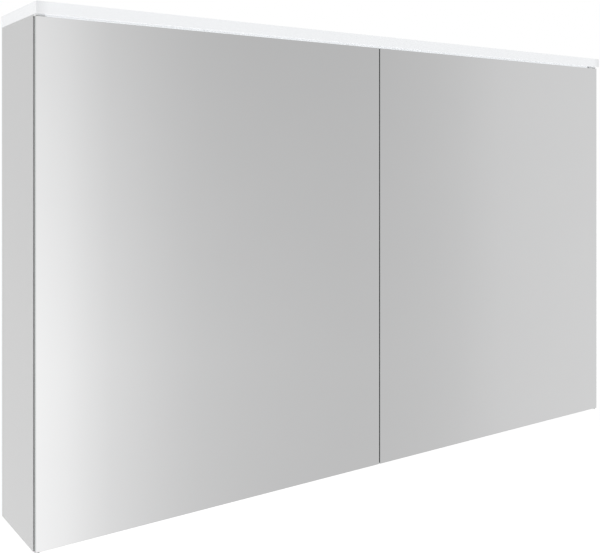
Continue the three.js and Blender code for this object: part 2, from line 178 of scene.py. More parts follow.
def edge_banding(name, level):
    """Melamine board seen from behind: a faint print grain and a duller face."""
    made, tree, shader = material(name, IOR=1.48)
    grain = noise(tree, 140.0, 4.0, stretch=(1, 1, 0.08))
    fine = noise(tree, 900.0, 2.0)
    link(
        tree,
        shader,
        Base_Color=tint(tree, grain, grey(level * 0.95, 0.006), grey(level * 1.03, 0.0)),
        Roughness=spread(tree, fine, 0.5, 0.68),
        Normal=bump(tree, grain, 0.00005),
    )
    return made


def silvered_glass(name):
    """A mirror with the thinnest film of household haze on it."""
    made, tree, shader = material(name, Metallic=1.0, IOR=1.5)
    haze = noise(tree, 7.0, 5.0, stretch=(1, 1, 1.6), roughness=0.6)
    link(
        tree,
        shader,
        Base_Color=tint(tree, haze, (0.922, 0.924, 0.928), (0.944, 0.945, 0.948)),
        Roughness=ramp(tree, haze, [(0.35, 0.004), (0.62, 0.02), (0.8, 0.035)]),
    )
    return made


def ground_edge(name):
    """The polished edge of silvered float glass: a faintly green glint with fine lines along it."""
    made, tree, shader = material(name, IOR=1.52, Metallic=0.9)
    lines = noise(tree, 600.0, 3.0, stretch=(1, 1, 0.02))
    link(
        tree,
        shader,
        Base_Color=tint(tree, lines, (0.53, 0.555, 0.547), (0.6, 0.625, 0.62)),
        Roughness=spread(tree, lines, 0.06, 0.16),
        Normal=bump(tree, lines, 0.00001),
    )
    return made


def backing_paint(name):
    """The grey protective paint on the back of a silvered plate, rolled on."""
    made, tree, shader = material(name)
    roller = noise(tree, 260.0, 4.0, stretch=(1, 1, 0.3))
    link(
        tree,
        shader,
        Base_Color=tint(tree, roller, (0.16, 0.17, 0.175), (0.21, 0.22, 0.225)),
        Roughness=spread(tree, roller, 0.55, 0.75),
        Normal=bump(tree, roller, 0.00006),
    )
    return made


def brushed(name, level, along, roughness=(0.24, 0.42)):
    """Satin metal with drawing lines along one axis."""
    made, tree, shader = material(name, Metallic=1.0, Anisotropic=0.35)
    stretch = tuple(0.015 if axis == along else 1.0 for axis in "xyz")
    lines = noise(tree, 1400.0, 3.0, stretch=stretch)
    stains = noise(tree, 18.0, 3.0)
    both = math_node(tree, "MULTIPLY", lines, stains)
    link(
        tree,
        shader,
        Base_Color=tint(tree, lines, grey(level * 0.9), grey(level * 1.06, -0.008)),
        Roughness=spread(tree, both, roughness[0], roughness[1] + 0.2),
        Normal=bump(tree, lines, 0.000015),
    )
    return made


def zinc(name):
    """Zinc-plated steel: a fine spangle, a little blue, uneven in its sheen."""
    made, tree, shader = material(name, Metallic=1.0)
    place = add(tree, "ShaderNodeTexCoord").outputs["Object"]
    spangle = add(tree, "ShaderNodeTexVoronoi", {"Vector": place, "Scale": 800.0}).outputs["Color"]
    level = add(tree, "ShaderNodeSeparateColor", {"Color": spangle}).outputs["Red"]
    stains = noise(tree, 60.0, 4.0)
    link(
        tree,
        shader,
        Base_Color=tint(tree, level, (0.5, 0.52, 0.55), (0.7, 0.71, 0.72)),
        Roughness=spread(tree, stains, 0.22, 0.5),
        Normal=bump(tree, stains, 0.00004),
    )
    return made


GLOW = 0.348  # emission of the canopy's opal away from its light strip
STRIP_GLOW = 0.03  # more of it right over the strip
BAR_GLOW = 0.72  # and of the light bar under it
LIP_PAINTED_LIGHT = 0.03  # painted light: more emission on the canopy's underside, standing in for the bar shining on it
LIP_PAINTED_LIGHT_FADE = 0.8 * MM  # the height in which that painted light fades
GLOW_REACH = 140 * MM  # how far from the strip's line its own glow goes
END_REACH = 30 * MM  # how far past the strip's ends the glow drops
END_LEVEL = 0.45
LAMP_COLOUR = (0.965, 0.985, 1.01, 1)


def opal(name, strip_y, strip_half_length, glow, strip_glow):
    """Opal acrylic, lit from behind: brightest over the light strip, a little milky, and with
    painted light on its underside.
    """
    made, tree, shader = material(name, IOR=1.49, Coat_Weight=0.35, Coat_Roughness=0.08)
    place = add(tree, "ShaderNodeTexCoord").outputs["Object"]
    axes = add(tree, "ShaderNodeSeparateXYZ", {"Vector": place})
    away = math_node(tree, "ABSOLUTE", math_node(tree, "SUBTRACT", axes.outputs["Y"], strip_y))
    reach = math_node(tree, "DIVIDE", away, GLOW_REACH)
    near = ramp(tree, reach, [(0.0, 1.0), (0.3, 0.55), (1.0, 0.0)], "EASE")
    side = math_node(tree, "ABSOLUTE", axes.outputs["X"])
    past = math_node(tree, "SUBTRACT", side, strip_half_length)
    end = ramp(tree, math_node(tree, "DIVIDE", past, END_REACH), [(0.0, 1.0), (1.0, END_LEVEL)])
    milk = spread(tree, noise(tree, 22.0, 3.0), 0.985, 1.015)
    lit = math_node(tree, "ADD", math_node(tree, "MULTIPLY", near, strip_glow), glow)
    # painted light: the underside glows more, standing in for the light bar shining on it
    above = math_node(tree, "SUBTRACT", axes.outputs["Z"], UNDERSIDE_Z)
    painted_underside_light = ramp(tree, math_node(tree, "DIVIDE", above, LIP_PAINTED_LIGHT_FADE), [(0.0, 1.0), (1.0, 0.0)])
    lit = math_node(tree, "ADD", lit, math_node(tree, "MULTIPLY", painted_underside_light, LIP_PAINTED_LIGHT))
    strength = math_node(tree, "MULTIPLY", math_node(tree, "MULTIPLY", lit, end), milk)
    fine = noise(tree, 1100.0, 2.0)
    shader.inputs["Emission Color"].default_value = LAMP_COLOUR
    link(
        tree,
        shader,
        Base_Color=tint(tree, fine, (0.612, 0.617, 0.625), (0.62, 0.625, 0.632)),
        Emission_Strength=strength,
        Roughness=spread(tree, fine, 0.24, 0.3),
        Normal=bump(tree, fine, 0.0000012),
    )
    return made


def clear_glass(name, alpha, colour, streaks=0.02):
    """Float glass: nearly clear, with a film that varies a little."""
    made, tree, shader = material(name, IOR=1.52, Specular_IOR_Level=0.6, Alpha=alpha)
    film = noise(tree, 14.0, 4.0)
    link(
        tree,
        shader,
        Base_Color=tint(tree, film, colour, tuple(channel * 0.94 for channel in colour)),
        Roughness=spread(tree, film, 0.01, 0.01 + streaks),
    )
    return made


def moulded(name, colour, grain=900.0, depth=0.00004, roughness=(0.36, 0.52)):
    """Injection-moulded plastic with a spark-eroded texture."""
    made, tree, shader = material(name, IOR=1.5)
    texture = noise(tree, grain, 2.0)
    drift = noise(tree, 30.0, 2.0)
    link(
        tree,
        shader,
        Base_Color=tint(tree, drift, tuple(channel * 0.97 for channel in colour), colour),
        Roughness=spread(tree, texture, *roughness),
        Normal=bump(tree, texture, depth),
    )
    return made


def led_board(name):
    """A white-masked circuit board with copper showing faintly through in a repeated pattern."""
    made, tree, shader = material(name, IOR=1.5)
    place = add(tree, "ShaderNodeTexCoord").outputs["Object"]
    settings = {"Vector": place, "Scale": 19.0, "Distortion": 0.0}
    bands = add(tree, "ShaderNodeTexWave", settings, bands_direction="X").outputs["Fac"]
    link(
        tree,
        shader,
        Base_Color=ramp(tree, bands, [(0.8, (0.86, 0.84, 0.76)), (0.9, (0.72, 0.66, 0.48))]),
        Roughness=spread(tree, noise(tree, 300.0), 0.3, 0.5),
    )
    return made


STRIP_LOW, STRIP_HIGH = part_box("canopy_led_strip")
STRIP_Y = (STRIP_LOW.y + STRIP_HIGH.y) / 2
UNDERSIDE_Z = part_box("canopy_cover")[0].z

# The side panels' light grey lacquer, set darker than the inside boards' copy: that lower level is
# painted shade.
SIDE_GREY_AND_SHADE = 0.572
FRAME_GREY = 0.135

SIDE_LACQUER_AND_SHADE = lacquer("satin_lacquer", SIDE_GREY_AND_SHADE)
INSIDE = lacquer("satin_lacquer_inside", 0.64)
BACK_BOARD = edge_banding("melamine_back", 0.63)
MIRROR = silvered_glass("silvered_glass")
EDGE = ground_edge("ground_glass_edge")
BACKING = backing_paint("mirror_backing_paint")
BRUSHED_X = brushed("anodised_aluminium_along_x", 0.62, "x")
FRAME_X = brushed("dark_anodised_aluminium_along_x", FRAME_GREY, "x")
FRAME_Z = brushed("dark_anodised_aluminium_along_z", FRAME_GREY, "z")
ZINC = zinc("zinc_plated_steel")
# painted shade: near-black for the shaded hollows of the screws' cross recesses
SHADOWED_STEEL = moulded("steel_in_shadow", (0.05, 0.05, 0.053), 1200.0, 0.00002)
COATED_STEEL = lacquer("white_coated_steel", 0.82)
CANOPY_OPAL = opal("opal_canopy", STRIP_Y, STRIP_HIGH.x, GLOW, STRIP_GLOW)
BAR_OPAL = opal("opal_light_bar", STRIP_Y, STRIP_HIGH.x, BAR_GLOW, STRIP_GLOW)
SHELF_GLASS = clear_glass("shelf_glass", 0.13, (0.8, 0.9, 0.87))
SHELF_EDGE = clear_glass("shelf_glass_edge", 0.8, (0.3, 0.5, 0.43), 0.1)
WHITE_PLASTIC = moulded("white_moulding", (0.78, 0.78, 0.765))
# painted shade: near-black for the contact holes, which are not cut
HOLE_SHADE_DARK = moulded("painted_hole_shade", (0.03, 0.03, 0.032))
SOFT_GREY = moulded("grey_bush", (0.2, 0.205, 0.21), 500.0, 0.00008, (0.55, 0.75))
SILICONE = clear_glass("clear_silicone", 0.55, (0.85, 0.87, 0.88), 0.3)
LED_BOARD = led_board("led_board")
PHOSPHOR = moulded("led_phosphor", (0.75, 0.62, 0.15), 1500.0)

# ---- Geometry ----

SMOOTH = math.radians(35)  # edges sharper than this stay sharp


def piece(name, mesh, body, materials, smooth_angle=None, replaces=()):
    """A mesh as a visible piece of the object that rides on a body."""
    made = bpy.data.objects.new(name, mesh)
    bpy.context.scene.collection.objects.link(made)
    for each in materials:
        mesh.materials.append(each)
    if smooth_angle is not None:
        mesh.shade_smooth()
        mesh.set_sharp_from_angle(angle=smooth_angle)
    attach(made, body)
    if replaces:
        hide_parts(*replaces)
    return made


def to_mesh(name, shape):
    """A bmesh's faces turned outwards, as a mesh. The bmesh is freed."""
    bmesh.ops.recalc_face_normals(shape, faces=shape.faces)
    mesh = bpy.data.meshes.new(name)
    shape.to_mesh(mesh)
    shape.free()
    return mesh


def rounded_block(low, high, radius, segments=3, into=None):
    """A block with all its edges rounded, in a new bmesh or added to one."""
    shape = into or bmesh.new()
    corners = block(shape, Vector(low), Vector(high))
    edges = {edge for corner in corners for edge in corner.link_edges}
    bmesh.ops.bevel(
        shape,
        geom=list(edges),
        offset=radius,
        segments=segments,
        profile=0.5,
        affect="EDGES",
        clamp_overlap=True,
    )
    return shape


def block(shape, low, high):
    """The corners of a plain block added to a bmesh, for its edges to be eased."""
    place = Matrix.Translation((low + high) / 2) @ Matrix.Diagonal((*(high - low), 1))
    return bmesh.ops.create_cube(shape, size=1.0, matrix=place)["verts"]


def along_axis(origin, axis):
    """The frame at origin whose Z runs along an axis."""
    turn = Vector(axis).to_track_quat("Z", "Y").to_matrix().to_4x4()
    return Matrix.Translation(origin) @ turn


def turned(profile, origin, axis, sides, into=None):
    """A profile of (radius, distance along the axis) points turned about an axis."""
    shape = into or bmesh.new()
    place = along_axis(origin, axis)
    angles = [2 * math.pi * step / sides for step in range(sides)]
    rings = []
    for radius, along in profile:
        around_axis = angles if radius > 0 else [0.0]
        points = [(radius * math.cos(a), radius * math.sin(a), along) for a in around_axis]
        rings.append([shape.verts.new(place @ Vector(point)) for point in points])
    for lower, upper in zip(rings, rings[1:]):
        for step in range(sides):
            corners = [lower[step % len(lower)], lower[(step + 1) % len(lower)]]
            corners += [upper[(step + 1) % len(upper)], upper[step % len(upper)]]
            unique = list(dict.fromkeys(corners))
            if len(unique) > 2:
                shape.faces.new(unique)
    return shape


def dress(node, material_used):
    """A CAD node shown as it is, in its material."""
    part = NODES[node]
    part.data.materials.clear()
    part.data.materials.append(material_used)
    part.data.shade_smooth()
    part.data.set_sharp_from_angle(angle=SMOOTH)
    return part


def soften(node, width, material_used):
    """A CAD node with flat sides, with its edges eased by modifiers."""
    part = dress(node, material_used)
    part.data.shade_flat()
    weld = part.modifiers.new("welded_corners", "WELD")
    weld.merge_threshold = 0.01 * MM
    merge = part.modifiers.new("merged_flat_faces", "DECIMATE")
    merge.decimate_type = "DISSOLVE"
    merge.angle_limit = math.radians(1)
    ease = part.modifiers.new("eased_edges", "BEVEL")
    ease.width = width
    ease.segments = 2
    ease.limit_method = "ANGLE"
    ease.angle_limit = math.radians(40)


# ---- Mirror plates ----

ARRIS = 0.3 * MM  # the ground chamfer round a mirror's front
FACES_BY_ROLE = (MIRROR, EDGE, BACKING)
FLAT = 0.99  # a face this nearly square to an axis lies flat to it


def mirror_plate(name, node, body, face_y):
    """A silvered plate: mirror in front, chamfered ground edges, and a painted back.

    face_y is -1 or 1, the way that the mirror faces.
    """
    low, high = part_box(node)
    middle = (low.y + high.y) / 2
    shape = bmesh.new()
    block(shape, low, high)
    front = [
        edge for edge in shape.edges if all((end.co.y - middle) * face_y > 0 for end in edge.verts)
    ]
    bmesh.ops.bevel(shape, geom=front, offset=ARRIS, segments=1, affect="EDGES")
    bmesh.ops.recalc_face_normals(shape, faces=shape.faces)
    for face in shape.faces:
        facing = face.normal.y * face_y
        face.material_index = 0 if facing > FLAT else 2 if facing < -FLAT else 1
    piece(name, to_mesh(name, shape), body, FACES_BY_ROLE, replaces=[node])


# ---- Screws ----

RECESS_ARM = 0.56  # of the head's radius
RECESS_HALF_WIDTH = 0.13
RECESS_RISE = 0.03 * MM  # above the head's crown
DOME = ((0.62, 0.94), (0.86, 0.68), (0.97, 0.34))  # of the head's radius and height
SCREW_SIDES = 28


def cross_recess(shape, centre, axis, radius, height):
    """The cross on a screw head, as a shallow plug just above its crown, whose near-black paints
    the shade in the recess.
    """
    place = along_axis(centre, axis)
    arm = radius * RECESS_ARM
    half = radius * RECESS_HALF_WIDTH
    quarter = [(arm, -half), (arm, half), (half, half)]
    outline = []
    for cosine, sine in ((1, 0), (0, 1), (-1, 0), (0, -1)):
        outline += [(x * cosine - y * sine, x * sine + y * cosine) for x, y in quarter]
    lower = [shape.verts.new(place @ Vector((x, y, 0))) for x, y in outline]
    upper = [shape.verts.new(place @ Vector((x, y, height))) for x, y in outline]
    shape.faces.new(upper)
    shape.faces.new(lower[::-1])
    for i in range(len(outline)):
        shape.faces.new((lower[i - 1], lower[i], upper[i], upper[i - 1]))


def screws(name, body, places, axis, radius, height):
    """Domed screw heads with a cross recess, standing `height` above their places."""
    heads = bmesh.new()
    recesses = bmesh.new()
    dome = [(radius * out, height * up) for out, up in DOME]
    profile = [(0, height), *dome, (radius, 0), (0, 0)]
    for place in places:
        turned(profile, place, axis, SCREW_SIDES, into=heads)
        cross_recess(recesses, place, axis, radius, height + RECESS_RISE)
    piece(name, to_mesh(name, heads), body, [ZINC], SMOOTH)
    crosses = name.replace("screws", "screw_recesses")
    piece(crosses, to_mesh(crosses, recesses), body, [SHADOWED_STEEL])


# ---- Cabinet ----


def carcass():
    """The boards, the hanging rail, the catch magnets and the hinge plates."""
    for node in ("side_panel_left", "side_panel_right"):
        # painted shade: the side panels take the darker copy of the lacquer
        dress(node, SIDE_LACQUER_AND_SHADE)
    for node in ("top_panel", "bottom_panel", "centre_partition"):
        dress(node, INSIDE)
    dress("back_panel", BACK_BOARD)
    soften("hanging_rail", 0.25 * MM, BRUSHED_X)
    for side in DOORS:
        soften(f"catch_magnet_{side}", 0.5 * MM, ZINC)
        for end in ("top", "bottom"):
            dress(f"pivot_plate_{end}_{side}", COATED_STEEL)


def canopy():
    """The lit canopy with its plate, strip and driver, and the light bar under it."""
    dress("canopy_cover", CANOPY_OPAL)
    soften("canopy_base_plate", 0.2 * MM, BRUSHED_X)
    soften("canopy_led_strip", 0.1 * MM, LED_BOARD)
    soften("light_bar_led_strip", 0.1 * MM, LED_BOARD)
    soften("led_driver", 0.8 * MM, WHITE_PLASTIC)
    soften("light_bar", 0.3 * MM, BAR_OPAL)
    led_chips()


LED_PITCH = 16 * MM
LED_SIZE = Vector((3.5, 2.8, 0.7)) * MM
LED_ROUNDING = 0.2 * MM


def led_chips():
    """The light-emitting chips along the canopy's strip."""
    low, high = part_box("canopy_led_strip")
    shape = bmesh.new()
    count = int((high.x - low.x) / LED_PITCH)
    start = (low.x + high.x) / 2 - (count - 1) * LED_PITCH / 2
    for step in range(count):
        centre = Vector((start + step * LED_PITCH, STRIP_Y, high.z + LED_SIZE.z / 2))
        rounded_block(centre - LED_SIZE / 2, centre + LED_SIZE / 2, LED_ROUNDING, 1, into=shape)
    mesh = to_mesh("canopy_led_chips", shape)
    piece("canopy_led_chips", mesh, "cabinet", [PHOSPHOR])


# ---- Doors ----

FRAME_EASING = 0.3 * MM


def door(side):
    """A mirror on each face of a dark aluminium frame, with the hinge shoes on its ends."""
    body = f"{side}_door"
    mirror_plate(f"{side}_front_mirror", f"door_{side}_mirror", body, -1)
    mirror_plate(f"{side}_inner_mirror", f"door_{side}_rear_mirror", body, 1)
    for part in ("hinge_stile", "free_stile"):
        soften(f"door_{side}_{part}", FRAME_EASING, FRAME_Z)
    soften(f"door_{side}_top_rail", FRAME_EASING, FRAME_X)
    soften(f"door_{side}_bottom_rail", FRAME_EASING, FRAME_X)
    for end in ("top", "bottom"):
        dress(f"door_{side}_{end}_pivot", COATED_STEEL)


# ---- Shelves ----

SHELF_ARRIS = 0.8 * MM
SHELF_FACES = (SHELF_GLASS, SHELF_EDGE)


def shelf(node):
    """A glass shelf with rounded, greener edges."""
    low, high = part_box(node)
    shape = rounded_block(low, high, SHELF_ARRIS, 2)
    bmesh.ops.recalc_face_normals(shape, faces=shape.faces)
    for face in shape.faces:
        face.material_index = 0 if abs(face.normal.z) > FLAT else 1
    mesh = to_mesh(node, shape)
    piece(f"{node}_glass", mesh, "cabinet", SHELF_FACES, SMOOTH, [node])


PIN_RADIUS = 2.5 * MM
PIN_REACH = 9.25 * MM  # from the board's face, under its collar, to the pin's free end
PIN_SIDES = 28
COLLAR_THICKNESS = 1.25 * MM
COLLAR_ROUNDING = 0.3 * MM


def shelf_pin(node):
    """A turned pin: a shaft in its hole, a collar against the board, and a rounded stub."""
    low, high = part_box(node)
    centre = (low + high) / 2
    outward = -1 if node.endswith("outer") == (centre.x > 0) else 1
    wall_end = low.x if outward > 0 else high.x
    length = high.x - low.x
    collar = (high.z - low.z) / 2
    shaft = length - PIN_REACH
    past = shaft + COLLAR_THICKNESS
    profile = [
        (0, 0),
        (PIN_RADIUS - 0.4 * MM, 0),
        (PIN_RADIUS, 0.4 * MM),
        (PIN_RADIUS, shaft),
        (collar - COLLAR_ROUNDING, shaft),
        (collar, shaft + COLLAR_ROUNDING),
        (collar, past - COLLAR_ROUNDING),
        (collar - COLLAR_ROUNDING, past),
        (PIN_RADIUS, past),
        (PIN_RADIUS, length - 0.8 * MM),
        (PIN_RADIUS - 0.25 * MM, length - 0.25 * MM),
        (PIN_RADIUS - 0.8 * MM, length),
        (0, length),
    ]
    origin = Vector((wall_end, centre.y, centre.z))
    shape = turned(profile, origin, (outward, 0, 0), PIN_SIDES)
    name = node.replace("shelf_pin", "turned_pin")
    piece(name, to_mesh(name, shape), "cabinet", [ZINC], SMOOTH, [node])


# ---- Switch, socket and inlet ----

BOX_ROUNDING = 1.6 * MM
SLOT_ROUNDING = 0.4 * MM
POCKET_GAP = 0.25 * MM  # round the socket, and behind and beside the rocker
ROCKER_PLAY = 0.4 * MM  # over and under the rocker, where it tips
CUTTER_REACH = 1 * MM  # how far the cutters stand out of the box's front
SOCKET_DEPTH = 17 * MM
SOCKET_WALL = 2 * MM
SOCKET_SIDES = 64
CONTACT_OFFSET = 9.5 * MM  # from the socket's middle to a contact's
CONTACT_RIM = 2.9 * MM
CONTACT_HOLE = 2.3 * MM
SPRING_HALF_WIDTH = 2.2 * MM


def outlet():
    """The switch and socket box and the mains inlet."""
    outlet_box()
    soften("switch_rocker", 0.5 * MM, WHITE_PLASTIC)
    socket()
    contacts()
    earth_springs()
    inlet()


def outlet_box():
    """The box with rounded edges, with the socket's and the rocker's pockets cut into it."""
    low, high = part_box("outlet_box")
    box = rounded_block(low, high, BOX_ROUNDING, 5)
    cutters = [to_mesh("pocket", socket_pocket(low.x)), to_mesh("slot", rocker_slot(low.x))]
    mesh = carved(to_mesh("outlet_box_body", box), cutters)
    finish = [WHITE_PLASTIC]
    piece("outlet_box_body", mesh, "cabinet", finish, replaces=["outlet_box"])


def socket_pocket(front_x):
    """A round cutter for the socket, standing out of the box's front."""
    low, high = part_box("socket_insert")
    centre = (low + high) / 2
    radius = (high.z - low.z) / 2 + POCKET_GAP
    depth = high.x - low.x + POCKET_GAP
    profile = [(0, -CUTTER_REACH), (radius, -CUTTER_REACH), (radius, depth), (0, depth)]
    return turned(profile, (front_x, centre.y, centre.z), (1, 0, 0), 96)


def rocker_slot(front_x):
    """A cutter for the rocker, standing out of the box's front."""
    low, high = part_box("switch_rocker")
    start = Vector((front_x - CUTTER_REACH, low.y - POCKET_GAP, low.z - ROCKER_PLAY))
    end = Vector((high.x + POCKET_GAP, high.y + POCKET_GAP, high.z + ROCKER_PLAY))
    return rounded_block(start, end, SLOT_ROUNDING, 2)


def carved(mesh, cutters):
    """A mesh with other meshes cut out of it."""
    scene = bpy.context.scene
    body = bpy.data.objects.new("carved", mesh)
    scene.collection.objects.link(body)
    tools = [bpy.data.objects.new("cutter", cutter) for cutter in cutters]
    for tool in tools:
        scene.collection.objects.link(tool)
        cut = body.modifiers.new("cut", "BOOLEAN")
        cut.operation = "DIFFERENCE"
        cut.solver = "EXACT"
        cut.object = tool
    graph = bpy.context.evaluated_depsgraph_get()
    result = bpy.data.meshes.new_from_object(body.evaluated_get(graph))
    for each in (body, *tools):
        left_over = each.data
        bpy.data.objects.remove(each)
        bpy.data.meshes.remove(left_over)
    return result


def socket_mouth():
    """The middle of the socket's mouth, and its outer radius."""
    low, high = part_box("socket_insert")
    mouth = Vector((low.x, (low.y + high.y) / 2, (low.z + high.z) / 2))
    return mouth, (high.z - low.z) / 2


def socket():
    """A recessed round cup with an eased rim."""
    low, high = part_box("socket_insert")
    mouth, outer = socket_mouth()
    inner = outer - SOCKET_WALL
    back = high.x - low.x
    profile = [
        (0, SOCKET_DEPTH),
        (inner - 1 * MM, SOCKET_DEPTH),
        (inner, SOCKET_DEPTH - 1 * MM),
        (inner, 1.2 * MM),
        (inner + 0.6 * MM, 0.4 * MM),
        (outer - 0.6 * MM, 0),
        (outer, 0.6 * MM),
        (outer, back),
        (0, back),
    ]
    mesh = to_mesh("socket_cup", turned(profile, mouth, (1, 0, 0), SOCKET_SIDES))
    finish = [WHITE_PLASTIC]
    piece("socket_cup", mesh, "cabinet", finish, SMOOTH, ["socket_insert"])


def contacts():
    """Two contact holes with a raised rim, in the socket's floor, as shallow near-black discs that
    paint the holes' shade.
    """
    mouth = socket_mouth()[0]
    rim = [
        (0, 0.1 * MM),
        (CONTACT_HOLE, 0.1 * MM),
        (CONTACT_HOLE + 0.2 * MM, 0),
        (CONTACT_RIM, 0),
        (CONTACT_RIM, 0.2 * MM),
        (0, 0.2 * MM),
    ]
    shape = bmesh.new()
    for side in (-1, 1):
        place = mouth + Vector((SOCKET_DEPTH - 0.15 * MM, side * CONTACT_OFFSET, 0))
        turned(rim, place, (1, 0, 0), 32, into=shape)
    mesh = to_mesh("socket_contacts", shape)
    piece("socket_contacts", mesh, "cabinet", [HOLE_SHADE_DARK], SMOOTH)


def earth_springs():
    """The two earthing springs, at the top and bottom of the socket's wall."""
    mouth, outer = socket_mouth()
    inner = outer - SOCKET_WALL
    shape = bmesh.new()
    for side in (-1, 1):
        bottom, top = sorted((side * (inner - 0.1 * MM), side * (inner - 1.4 * MM)))
        start = mouth + Vector((2.5 * MM, -SPRING_HALF_WIDTH, bottom))
        end = mouth + Vector((SOCKET_DEPTH - 0.2 * MM, SPRING_HALF_WIDTH, top))
        rounded_block(start, end, 0.5 * MM, 2, into=shape)
    mesh = to_mesh("socket_earth_springs", shape)
    piece("socket_earth_springs", mesh, "cabinet", [ZINC], SMOOTH)


INLET_PASSAGE = 6 * MM
INLET_NECK = 10 * MM
INLET_FLANGE_THICKNESS = 1.75 * MM


def inlet():
    """The mains inlet: a soft bush with a flange."""
    low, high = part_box("cable_inlet")
    centre = (low + high) / 2
    length = high.y - low.y
    flange = (high.x - low.x) / 2
    profile = [
        (INLET_PASSAGE, 0.5 * MM),
        (INLET_PASSAGE + 0.5 * MM, 0),
        (flange - 0.9 * MM, 0),
        (flange, 0.7 * MM),
        (flange, INLET_FLANGE_THICKNESS),
        (INLET_NECK, INLET_FLANGE_THICKNESS),
        (INLET_NECK, length - 0.6 * MM),
        (INLET_NECK - 0.6 * MM, length),
        (INLET_PASSAGE + 0.5 * MM, length),
        (INLET_PASSAGE, length - 0.5 * MM),
        (INLET_PASSAGE, 0.5 * MM),
    ]
    shape = turned(profile, Vector((centre.x, low.y, centre.z)), (0, 1, 0), 48)
    bmesh.ops.remove_doubles(shape, verts=shape.verts, dist=0.001 * MM)
    mesh = to_mesh("inlet_bush", shape)
    piece("inlet_bush", mesh, "cabinet", [SOFT_GREY], SMOOTH, ["cable_inlet"])


# ---- Small hardware ----

PLATE_SCREW_RADIUS = 3 * MM
PLATE_SCREW_HEIGHT = 0.18 * MM
PLATE_SCREW_INSETS = (8 * MM, 26 * MM)  # from the plate's rear end
PLATE_SCREW_SHIFT = 1.4 * MM  # from the plate's middle, towards the inside
RAIL_SCREW_RADIUS = 4.2 * MM
RAIL_SCREW_HEIGHT = 1.8 * MM
RAIL_SCREW_PLACES = (-0.56, -0.28, 0.0, 0.28, 0.56)
RAIL_SCREW_RISE = 12 * MM  # above the rail's lower edge
RAIL_FLANGE = 2 * MM
BOX_SCREW_RADIUS = 2.2 * MM
BOX_SCREW_HEIGHT = 0.7 * MM
BOX_SCREW_OFFSET = 18 * MM
BOX_SCREW_DROP = 6 * MM
BUFFER_RADIUS = 4 * MM
BUFFER_DOME = ((0.55, 0.92), (0.9, 0.5))  # of the buffer's radius and height
BUFFER_FILL = 0.85  # of the gap behind the doors
BUFFER_END_GAP = 30 * MM
BUFFER_MIDDLE_GAP = 24 * MM
BUFFER_RISE = 4.5 * MM


def hardware():
    """Screws in the pivot plates, the rail and the outlet box, and clear door buffers."""
    for side, inward in (("left", 1), ("right", -1)):
        for end in ("top", "bottom"):
            plate_screws(side, end, inward)
    rail_screws()
    outlet_screws()
    buffers()


def plate_screws(side, end, inward):
    """Two flat screws in a pivot plate; inward is the way to the cabinet's middle along X."""
    low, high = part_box(f"pivot_plate_{end}_{side}")
    x = (low.x + high.x) / 2 + inward * PLATE_SCREW_SHIFT
    z, axis = (high.z, (0, 0, 1)) if end == "top" else (low.z, (0, 0, -1))
    places = [Vector((x, high.y - inset, z)) for inset in PLATE_SCREW_INSETS]
    name = f"pivot_screws_{end}_{side}"
    screws(name, "cabinet", places, axis, PLATE_SCREW_RADIUS, PLATE_SCREW_HEIGHT)


def rail_screws():
    """Five screws along the hanging rail's lower flange."""
    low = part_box("hanging_rail")[0]
    flange_y = low.y + RAIL_FLANGE
    places = [Vector((x, flange_y, low.z + RAIL_SCREW_RISE)) for x in RAIL_SCREW_PLACES]
    screws("rail_screws", "cabinet", places, (0, 1, 0), RAIL_SCREW_RADIUS, RAIL_SCREW_HEIGHT)


def outlet_screws():
    """Two screws over the rocker."""
    low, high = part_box("outlet_box")
    middle = (low.y + high.y) / 2
    z = high.z - BOX_SCREW_DROP
    places = [Vector((low.x, middle + side * BOX_SCREW_OFFSET, z)) for side in (-1, 1)]
    screws("outlet_screws", "cabinet", places, (-1, 0, 0), BOX_SCREW_RADIUS, BOX_SCREW_HEIGHT)


def buffers():
    """Clear self-adhesive domes on the boards' front edges, which the doors close against."""
    low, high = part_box("top_panel")
    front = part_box("centre_partition")[0].y
    door_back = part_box("door_left_hinge_stile")[1].y
    height = (front - door_back) * BUFFER_FILL
    dome = [(BUFFER_RADIUS * out, height * up) for out, up in BUFFER_DOME]
    profile = [(0, height), *dome, (BUFFER_RADIUS, 0), (0, 0)]
    ends = (low.x + BUFFER_END_GAP, high.x - BUFFER_END_GAP)
    shape = bmesh.new()
    for x in (ends[0], -BUFFER_MIDDLE_GAP, BUFFER_MIDDLE_GAP, ends[1]):
        place = Vector((x, front, low.z + BUFFER_RISE))
        turned(profile, place, (0, -1, 0), 32, into=shape)
    mesh = to_mesh("door_buffers", shape)
    piece("door_buffers", mesh, "cabinet", [SILICONE], SMOOTH)


# ---- Studio ----

FLOOR_DROP = 1.2  # the cabinet hangs this far over the floor
CAMERA_PLACE = (-0.9746, -1.2374, 0.5314)
CAMERA_TURN = math.radians(-34.77)  # about Z, from looking along +Y
CAMERA_LENS = 52.21  # for a sensor 36 mm wide
CAMERA_RISE = -0.1953  # vertical shift that puts the level camera's horizon above the middle

# The studio seen in the mirrors: brightness by direction, in degrees from the front
# towards +X. These levels were set to give the mirrors their soft grey gradient.
SURROUND = [
    (-180, 0.80),
    (-171, 2.3),
    (-153, 2.3),
    (-142, 0.80),
    (-90, 0.78),
    (-60, 0.74),
    (-40, 0.64),
    (-24, 0.80),
    (-10, 0.68),
    (2, 0.76),
    (10, 0.94),
    (15, 0.955),
    (19, 0.91),
    (22, 0.735),
    (28, 0.575),
    (35, 0.545),
    (39.5, 0.535),
    (44.5, 0.57),
    (48, 0.65),
    (53, 0.66),
    (70, 0.72),
    (120, 0.80),
    (180, 0.80),
]
# The studio's ceiling and the far floor are dimmer than its walls: brightness by height,
# from straight down to straight up.
BY_HEIGHT = [(0.0, 0.78), (0.29, 1.0), (0.6, 1.0), (0.76, 0.84), (1.0, 0.78)]
